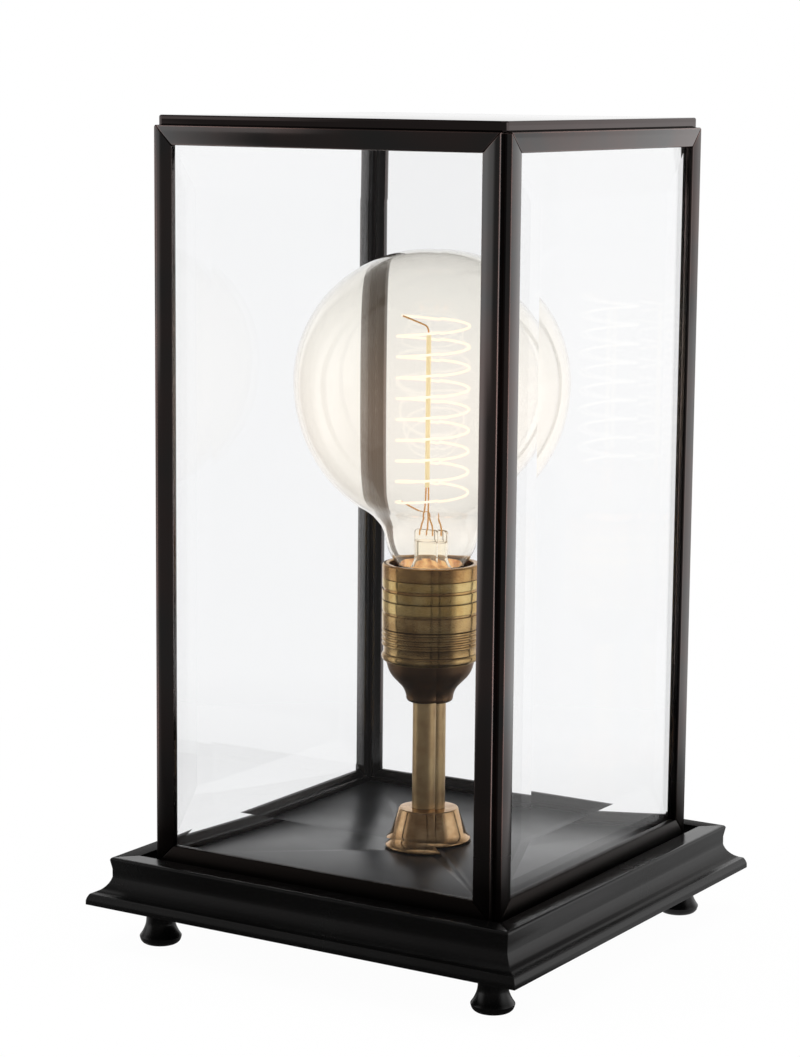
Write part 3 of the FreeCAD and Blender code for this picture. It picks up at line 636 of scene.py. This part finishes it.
porcelain = coated("glazed_porcelain", "d9d4c8", "e6e2d8", 6.0, (0.12, 0.2), 1.5, 0.004,
                   **{"IOR": 1.5, "Coat Weight": 0.5})
painted("holder_core", porcelain)
bright_brass = aged_brass("bright_rolled_brass", "f0cf86", "e0b868", "8a6a34", (0.12, 0.22))
for node in ("holder_screw_shell", "holder_centre_contact"):
    painted(node, bright_brass)

# ---- Bulb: glass -----------------------------------------------------------------------------
# Thin blown glass, drawn down into a neck that sits in the screw cap. Smooth and clear, under a
# faint warm veil of the filament's light, which fades with the distance from it.

bulb_low, bulb_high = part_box("bulb_glass")
bulb_r = bulb_high.x / mm
bulb_upper = 61.2
bulb_lower = 68.0
bulb_middle = bulb_high.z / mm - bulb_upper
bulb_wall = 0.8
upper_steps = 32
lower_steps = 22
globe_end_r = 33.36
# How far in and how far down from the globe's end the throat runs to the neck.
throat = (
    (2.5, 1.35), (5.2, 3.0), (7.7, 4.9), (9.8, 7.2), (11.8, 9.6), (13.2, 12.5), (13.9, 15.0),
    (14.4, 17.5), (15.0, 19.9), (15.8, 22.2), (16.8, 24.2), (18.0, 26.0),
)
neck_r = 12.7
neck_bell = 0.9
cap_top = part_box("bulb_cap")[1].z / mm
neck_low = bulb_low.z / mm
light_drop = 14              # the filament's middle below the globe's

blown_glass, tree = new_material("clear_blown_glass")
place = add(tree, "ShaderNodeTexCoord")
from_filament = add(tree, "ShaderNodeVectorMath", {
    "operation": "DISTANCE", 1: (0, 0, (bulb_middle - light_drop) * mm)},
    {0: place.outputs["Object"]})
lit = add(tree, "ShaderNodeValToRGB", None, {"Fac": from_filament.outputs["Value"]})
veil = ((0.050, "33302b"), (0.060, "3a3028"), (0.068, "2c2620"), (0.076, "100f0e"))
fill_ramp(lit.color_ramp, [(distance, linear(shade)) for distance, shade in veil])
clear = add(tree, "ShaderNodeBsdfPrincipled", {
    "Base Color": linear("fffefa"), "Roughness": 0.0, "IOR": 1.45, "Transmission Weight": 1.0,
    "Emission Strength": 1.0}, {"Emission Color": lit.outputs["Color"]})
add(tree, "ShaderNodeOutputMaterial", None, {"Surface": clear.outputs[0]})


def globe_outline(wall):
    """Top to neck of the globe, drawn in by wall."""
    wide = bulb_r - wall
    end_angle = math.acos(globe_end_r / bulb_r)
    spots = [(0, bulb_middle + bulb_upper - wall)]
    for n in range(1, upper_steps + 1):
        angle = math.pi / 2 * (1 - n / upper_steps)
        spots.append((wide * math.cos(angle),
                      bulb_middle + (bulb_upper - wall) * math.sin(angle)))
    for n in range(1, lower_steps + 1):
        angle = -end_angle * n / lower_steps
        spots.append((wide * math.cos(angle),
                      bulb_middle + (bulb_lower - wall) * math.sin(angle)))
    end_r, end_z = spots[-1]
    spots += [(end_r - back, end_z - drop) for back, drop in throat]
    spots += [(neck_r - wall + neck_bell, cap_top + 0.5), (neck_r - wall, cap_top - 0.3),
              (neck_r - wall, neck_low)]
    return spots


finished(spun(globe_outline(0) + globe_outline(bulb_wall)[::-1], closed=False), "globe_glass",
         blown_glass, "bulb", ["bulb_glass"], sharp=60)

# ---- Bulb: stem press ------------------------------------------------------------------------
# A glass tube flared out to meet the neck and pinched flat round the lead wires at its top. It
# stands so near the filament that it glows.

lit_glass, tree = new_material("lit_lead_glass")
place = add(tree, "ShaderNodeTexCoord")
reams = add(tree, "ShaderNodeTexNoise", {"Scale": 1 / (5.0 * mm), "Detail": 1.0},
            {"Vector": place.outputs["Object"]})
warmth = add(tree, "ShaderNodeMix", {
    "data_type": "RGBA", 6: linear("28241d"), 7: linear("383024")}, {0: reams.outputs["Fac"]})
clear = add(tree, "ShaderNodeBsdfPrincipled", {
    "Base Color": linear("fffdf6"), "Roughness": 0.0, "IOR": 1.35, "Transmission Weight": 1.0,
    "Emission Strength": 1.0}, {"Emission Color": warmth.outputs[2]})
add(tree, "ShaderNodeOutputMaterial", None, {"Surface": clear.outputs[0]})

press_low, press_high = (spot.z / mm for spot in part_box("bulb_stem_press"))
flare_fit = 0.15
flare_wall = 1.0
flare_r = neck_r - bulb_wall - flare_fit
flare_bore_r = flare_r - flare_wall
flare_round = (0.8, 4)
press_r = 5.8
press_wall = 0.9
press_bore_r = press_r - press_wall
press_round = (2.4, 6)
press_steps = 64
pinch_width = 12.4
pinch_depth = 4.0
pinch_height = 7.0
pinch_round = 1.6
tube_top = press_high - pinch_height + 1.5
press = spun([
    (flare_r, press_low), (flare_r, press_low + 1.2, *flare_round),
    (press_r, press_low + 4.8, *press_round), (press_r, tube_top), (press_bore_r, tube_top),
    (press_bore_r, press_low + 5.2, *press_round), (flare_bore_r, press_low + 1.0, *flare_round),
    (flare_bore_r, press_low),
], steps=press_steps)
pinch = bmesh.new()
bmesh.ops.create_cube(pinch, size=1.0)
bmesh.ops.scale(pinch, vec=(pinch_width * mm, pinch_depth * mm, pinch_height * mm),
                verts=pinch.verts)
bmesh.ops.translate(pinch, vec=(0, 0, (press_high - pinch_height / 2) * mm), verts=pinch.verts)
bmesh.ops.bevel(pinch, geom=pinch.edges[:], offset=pinch_round * mm, offset_type="OFFSET",
                segments=5, profile=0.5, affect="EDGES", material=-1)
move_into(press, pinch)
finished(press, "stem_press", lit_glass, "bulb", ["bulb_stem_press"], sharp=60)

# ---- Bulb: cap and contacts ------------------------------------------------------------------
# Nickel-plated brass screw cap, black glass insulator and a blob of solder. Inside, the cap is
# lined with orange cement, which the filament lights.

cap_inner_r = 12.9

nickel, tree = new_material("nickel_plate_over_cement")
place = add(tree, "ShaderNodeTexCoord")
flat = add(tree, "ShaderNodeVectorMath", {"operation": "MULTIPLY", 1: (1, 1, 0)},
           {0: place.outputs["Object"]})
from_axis = add(tree, "ShaderNodeVectorMath", {"operation": "LENGTH"}, {0: flat.outputs[0]})
cemented = add(tree, "ShaderNodeMath", {"operation": "LESS_THAN", 1: cap_inner_r * mm},
               {0: from_axis.outputs["Value"]})
grains = add(tree, "ShaderNodeTexNoise", {"Scale": 1 / (1.5 * mm), "Detail": 3.0},
             {"Vector": place.outputs["Object"]})
plate = add(tree, "ShaderNodeMix", {
    "data_type": "RGBA", 6: linear("b5ab97"), 7: linear("cfc8b8")}, {0: grains.outputs["Fac"]})
cement = add(tree, "ShaderNodeMix", {
    "data_type": "RGBA", 6: linear("a8703c"), 7: linear("d89a5c")}, {0: grains.outputs["Fac"]})
colour = add(tree, "ShaderNodeMix", {"data_type": "RGBA"},
             {0: cemented.outputs[0], 6: plate.outputs[2], 7: cement.outputs[2]})
patches = add(tree, "ShaderNodeTexNoise", {"Scale": 1 / (4.0 * mm), "Detail": 2.0},
              {"Vector": place.outputs["Object"]})
lit = add(tree, "ShaderNodeMapRange", {"From Min": 0.38, "From Max": 0.62},
          {"Value": patches.outputs["Fac"]})
orange = add(tree, "ShaderNodeMix", {
    "data_type": "RGBA", 6: linear("a8642a"), 7: linear("ffca8c")}, {0: lit.outputs["Result"]})
glowing = add(tree, "ShaderNodeMix", {"data_type": "RGBA", 6: (0, 0, 0, 1)},
              {0: cemented.outputs[0], 7: orange.outputs[2]})
metal_share = add(tree, "ShaderNodeMath", {"operation": "SUBTRACT", 0: 1.0},
                  {1: cemented.outputs[0]})
roughness = add(tree, "ShaderNodeMapRange", {"To Min": 0.2, "To Max": 0.35},
                {"Value": grains.outputs["Fac"]})
coat = add(tree, "ShaderNodeBsdfPrincipled", {"Emission Strength": 0.9}, {
    "Base Color": colour.outputs[2], "Metallic": metal_share.outputs[0],
    "Roughness": roughness.outputs["Result"], "Emission Color": glowing.outputs[2]})
add(tree, "ShaderNodeOutputMaterial", None, {"Surface": coat.outputs[0]})
painted("bulb_cap", nickel)
black_glass = coated("black_glass_insulator", "08080c", "14141c", 2.0, (0.08, 0.2), 1.0, 0.004,
                     IOR=1.6)
painted("bulb_cap_insulator", black_glass)
painted("bulb_contact_tip", zinc_plate)

# ---- Bulb: filament and its supports ---------------------------------------------------------
# A coil of glowing wire round an amber glass rod, on copper-coated lead wires. The rod and the
# wires carry a faint glow, painted light from the coil.

glowing_wire, tree = new_material("glowing_carbon_wire")
place = add(tree, "ShaderNodeTexCoord")
along = add(tree, "ShaderNodeTexNoise", {"Scale": 1 / (4.0 * mm), "Detail": 2.0},
            {"Vector": place.outputs["Object"]})
heat_colour = add(tree, "ShaderNodeMix", {
    "data_type": "RGBA", 6: linear("ffefd6"), 7: linear("fff8ea")}, {0: along.outputs["Fac"]})
heat = add(tree, "ShaderNodeEmission", {"Strength": 1.3}, {"Color": heat_colour.outputs[2]})
add(tree, "ShaderNodeOutputMaterial", None, {"Surface": heat.outputs[0]})

cad_wire_r = 0.65
coil_wire_r = 0.6
coil_wire_sides = 10
coil_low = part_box("filament")[0].z / mm + cad_wire_r
coil_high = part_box("filament")[1].z / mm - cad_wire_r
coil_r = 14.5
coil_turns = 9
coil_pitch = 9.7
coil_steps = 48
shape = bmesh.new()
bmesh.ops.create_circle(shape, cap_ends=False, radius=coil_wire_r * mm,
                        segments=coil_wire_sides)
bmesh.ops.transform(shape, matrix=Matrix.Translation((-coil_r * mm, 0, coil_low * mm))
                    @ Matrix.Rotation(math.pi / 2, 4, "X"), verts=shape.verts)
bmesh.ops.spin(shape, geom=shape.verts[:] + shape.edges[:], cent=(0, 0, 0), axis=(0, 0, 1),
               dvec=(0, 0, coil_pitch * mm / coil_steps), angle=2 * math.pi * coil_turns,
               steps=coil_steps * coil_turns, use_merge=False, use_duplicate=False)
bmesh.ops.holes_fill(shape, edges=[e for e in shape.edges if e.is_boundary],
                     sides=coil_wire_sides)
finished(shape, "coil", glowing_wire, "bulb", ["filament"], sharp=60)

amber_rod, tree = new_material("amber_glass_rod")
place = add(tree, "ShaderNodeTexCoord")
streak = add(tree, "ShaderNodeTexNoise", {"Scale": 1 / (2.0 * mm), "Detail": 3.0},
             {"Vector": place.outputs["Object"]})
amber = add(tree, "ShaderNodeMix", {
    "data_type": "RGBA", 6: linear("e6d4a8"), 7: linear("f0e4c4")}, {0: streak.outputs["Fac"]})
# The rod's glow is painted light from the coil.
rod_painted_glow = add(tree, "ShaderNodeMix", {
    "data_type": "RGBA", 6: linear("f0d898"), 7: linear("f8e6b8")}, {0: streak.outputs["Fac"]})
roughness = add(tree, "ShaderNodeMapRange", {"To Min": 0.1, "To Max": 0.25},
                {"Value": streak.outputs["Fac"]})
coat = add(tree, "ShaderNodeBsdfPrincipled", {"IOR": 1.5, "Emission Strength": 0.55}, {
    "Base Color": amber.outputs[2], "Emission Color": rod_painted_glow.outputs[2],
    "Roughness": roughness.outputs["Result"]})
add(tree, "ShaderNodeOutputMaterial", None, {"Surface": coat.outputs[0]})
painted("filament_rod", amber_rod)

# The wires' glow is painted light from the coil.
copper = coated("copper_coated_wire", "c98a4c", "e0b074", 1.5, (0.2, 0.35), 0.5, 0.002,
                **{"Metallic": 1.0, "Emission Color": linear("e8ac5c"), "Emission Strength": 0.4})
wire_r = 0.4
lead_half = 3.5
rod_low, rod_high = (spot.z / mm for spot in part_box("filament_rod"))


def bent_wire(places):
    """Round wire with soft bends through the given places."""
    line = bpy.data.curves.new("wire", "CURVE")
    line.dimensions = "3D"
    line.bevel_depth = wire_r * mm
    line.bevel_resolution = 2
    line.resolution_u = 6
    line.use_fill_caps = True
    run = line.splines.new("NURBS")
    run.points.add(len(places) - 1)
    for point, spot in zip(run.points, places):
        point.co = (spot[0] * mm, spot[1] * mm, spot[2] * mm, 1)
    run.order_u = 3
    run.use_endpoint_u = True
    holder = bpy.data.objects.new("wire", line)
    mesh = bpy.data.meshes.new_from_object(holder)
    bpy.data.objects.remove(holder)
    return mesh


press_root = press_high - 3.0
coil_end_x = -coil_r + 0.4
wires = bmesh.new()
for places in (
    # The lead that holds the rod, the lead to the coil's low end, the rod's second support,
    # and the wire from the rod's top to the coil's high end.
    ((-lead_half, 0, press_root), (-lead_half, 0, press_high + 0.5), (-0.6, 0, press_high + 9),
     (-0.6, 0, rod_low + 3)),
    ((lead_half, 0, press_root), (lead_half, 0, press_high + 0.5), (0.7, 0, press_high + 8),
     (-2.0, 0, coil_low - 5), (coil_end_x, 0, coil_low)),
    ((0.0, 0.5, press_root), (0.0, 0.6, press_high + 1), (0.5, 0.6, press_high + 8),
     (0.5, 0.4, rod_low + 2)),
    ((0.0, 0, rod_high - 1), (0.0, 0, rod_high + 2.5), (-3.0, 0, rod_high + 4.0),
     (coil_end_x, 0, coil_high)),
):
    mesh = bent_wire(places)
    wires.from_mesh(mesh)
    bpy.data.meshes.remove(mesh)
finished(wires, "lead_wires", copper, "bulb", ["filament_wires"], sharp=60)

# ---- Case: posts and rails -------------------------------------------------------------------
# Extruded brass, mitred and soldered, then darkened to a gunmetal bronze and polished. Copper
# brown shows where edges have been rubbed, made lighter there as a painted glint. Inner and upper
# faces are left dull. Towards the posts' feet the polish fades and painted shade darkens them.

facing_back = 89.0
case_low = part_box("case_post_front_right")[0].z / mm
foot_shade_from = 45.0             # above the posts' lower ends, where painted shade and duller polish start
foot_shade_to = 14.0

polished_bronze, tree = new_material("darkened_polished_bronze")
place = add(tree, "ShaderNodeTexCoord")
cloud = add(tree, "ShaderNodeTexNoise", {"Scale": 1 / (35.0 * mm), "Detail": 4.0},
            {"Vector": place.outputs["Object"]})
share = add(tree, "ShaderNodeMapRange", {"From Min": 0.35, "From Max": 0.65},
            {"Value": cloud.outputs["Fac"]})
toned = add(tree, "ShaderNodeMix", {
    "data_type": "RGBA", 6: linear("626262"), 7: linear("6c6260")}, {0: share.outputs["Result"]})
uneven = add(tree, "ShaderNodeMapRange", {
    "From Min": 0.3, "From Max": 0.6, "To Min": 0.4, "To Max": 1.0},
    {"Value": cloud.outputs["Fac"]})
# Rubbed edges show copper brown, lightened further as a painted glint.
rubbed = add(tree, "ShaderNodeMath", {"operation": "MULTIPLY"}, {
    0: rubbed_edges(tree, width_mm=0.9, worn_cosine=0.88), 1: uneven.outputs["Result"]})
edged = add(tree, "ShaderNodeMix", {"data_type": "RGBA", 7: linear("c49c94")},
            {0: rubbed.outputs[0], 6: toned.outputs[2]})
spread = add(tree, "ShaderNodeVectorMath", {"operation": "ABSOLUTE"}, {0: place.outputs["Object"]})
parts = add(tree, "ShaderNodeSeparateXYZ", None, {0: spread.outputs[0]})
outwards = add(tree, "ShaderNodeMath", {"operation": "MAXIMUM"},
               {0: parts.outputs["X"], 1: parts.outputs["Y"]})
hidden = add(tree, "ShaderNodeMapRange", {
    "From Min": (facing_back + 0.3) * mm, "From Max": (facing_back + 0.1) * mm},
    {"Value": outwards.outputs[0]})
upright = add(tree, "ShaderNodeSeparateXYZ", None, {0: place.outputs["Normal"]})
upper = add(tree, "ShaderNodeMapRange", {"From Min": 0.3, "From Max": 0.8},
            {"Value": upright.outputs["Z"]})
# Towards the posts' feet: duller, and darker as painted shade.
foot_shade = add(tree, "ShaderNodeMapRange", {
    "From Min": (case_low + foot_shade_from) * mm, "From Max": (case_low + foot_shade_to) * mm},
    {"Value": parts.outputs["Z"]})
unpolished = add(tree, "ShaderNodeMath", {"operation": "MAXIMUM"},
                 {0: hidden.outputs["Result"], 1: upper.outputs["Result"]})
dull_and_shaded = add(tree, "ShaderNodeMath", {"operation": "MAXIMUM"},
           {0: unpolished.outputs[0], 1: foot_shade.outputs["Result"]})
# Dull faces take this dark colour; at the posts' feet it is painted shade.
colour = add(tree, "ShaderNodeMix", {"data_type": "RGBA", 7: linear("2a2523")},
             {0: dull_and_shaded.outputs[0], 6: edged.outputs[2]})
polish = add(tree, "ShaderNodeMapRange", {
    "From Min": 0.3, "From Max": 0.7, "To Min": 0.09, "To Max": 0.15},
    {"Value": cloud.outputs["Fac"]})
roughness = add(tree, "ShaderNodeMix", {"data_type": "FLOAT", 3: 0.4},
                {0: dull_and_shaded.outputs[0], 2: polish.outputs["Result"]})
waves = add(tree, "ShaderNodeTexNoise", {"Scale": 1 / (6.0 * mm), "Detail": 1.0},
            {"Vector": place.outputs["Object"]})
relief = add(tree, "ShaderNodeBump", {"Strength": 1.0, "Distance": 0.006 * mm},
             {"Height": waves.outputs["Fac"]})
coat = add(tree, "ShaderNodeBsdfPrincipled", {"Metallic": 1.0}, {
    "Base Color": colour.outputs[2], "Roughness": roughness.outputs[0],
    "Normal": relief.outputs["Normal"]})
add(tree, "ShaderNodeOutputMaterial", None, {"Surface": coat.outputs[0]})

core_inner = 84.0
lug_places = ((76.0, 80.6), (338.0, 342.6))     # heights that each row of lugs lies between
frame_eased = 0.6
sheet_eased = 0.2


def plain_post(node):
    """Copy of a post without the glazing lugs on its core, whose inner corner closes up again."""
    shape = merged_copy(node)

    def on_lug(spot):
        return any(low < spot.co.z / mm < high for low, high in lug_places)

    lugs = [face for face in shape.faces if all(on_lug(spot) for spot in face.verts)]
    bmesh.ops.delete(shape, geom=lugs, context="FACES")
    for spot in shape.verts:
        if on_lug(spot):
            spot.co.x = math.copysign(core_inner * mm, spot.co.x)
            spot.co.y = math.copysign(core_inner * mm, spot.co.y)
    bmesh.ops.remove_doubles(shape, verts=shape.verts, dist=cad_weld)
    whole_faces(shape)
    return shape


for corner in corners:
    node = "case_post_" + corner
    finished(eased(plain_post(node), frame_eased), "post_" + corner, polished_bronze, "case",
             [node])
for side in sides:
    for level_name in ("top", "bottom"):
        node = "case_rail_" + level_name + "_" + side
        finished(eased(merged_copy(node), frame_eased), level_name + "_rail_" + side,
                 polished_bronze, "case", [node])
sheet_bronze = coated("polished_bronze_sheet", "55504f", "5f5453", 35.0, (0.03, 0.06), 3.0,
                      0.0003, worn=("a08480", 0.5), Metallic=1.0)
finished(eased(merged_copy("cap_plate"), sheet_eased, crease=40), "cap", sheet_bronze, "case",
         ["cap_plate"])

# ---- Case: bevelled panes --------------------------------------------------------------------
# Clear plate glass, ground to a wide shallow bevel all round and polished. It is colourless
# through its face and a pale blue along its length.

plate_glass, tree = new_material("bevelled_plate_glass")
clear = add(tree, "ShaderNodeBsdfPrincipled", {
    "Base Color": linear("ffffff"), "Roughness": 0.0, "IOR": 1.45, "Transmission Weight": 1.0})
tint = add(tree, "ShaderNodeVolumeAbsorption", {"Color": linear("a4ccf4"), "Density": 2.4})
add(tree, "ShaderNodeOutputMaterial", None,
    {"Surface": clear.outputs[0], "Volume": tint.outputs[0]})
for side in sides:
    painted("pane_" + side, plate_glass)
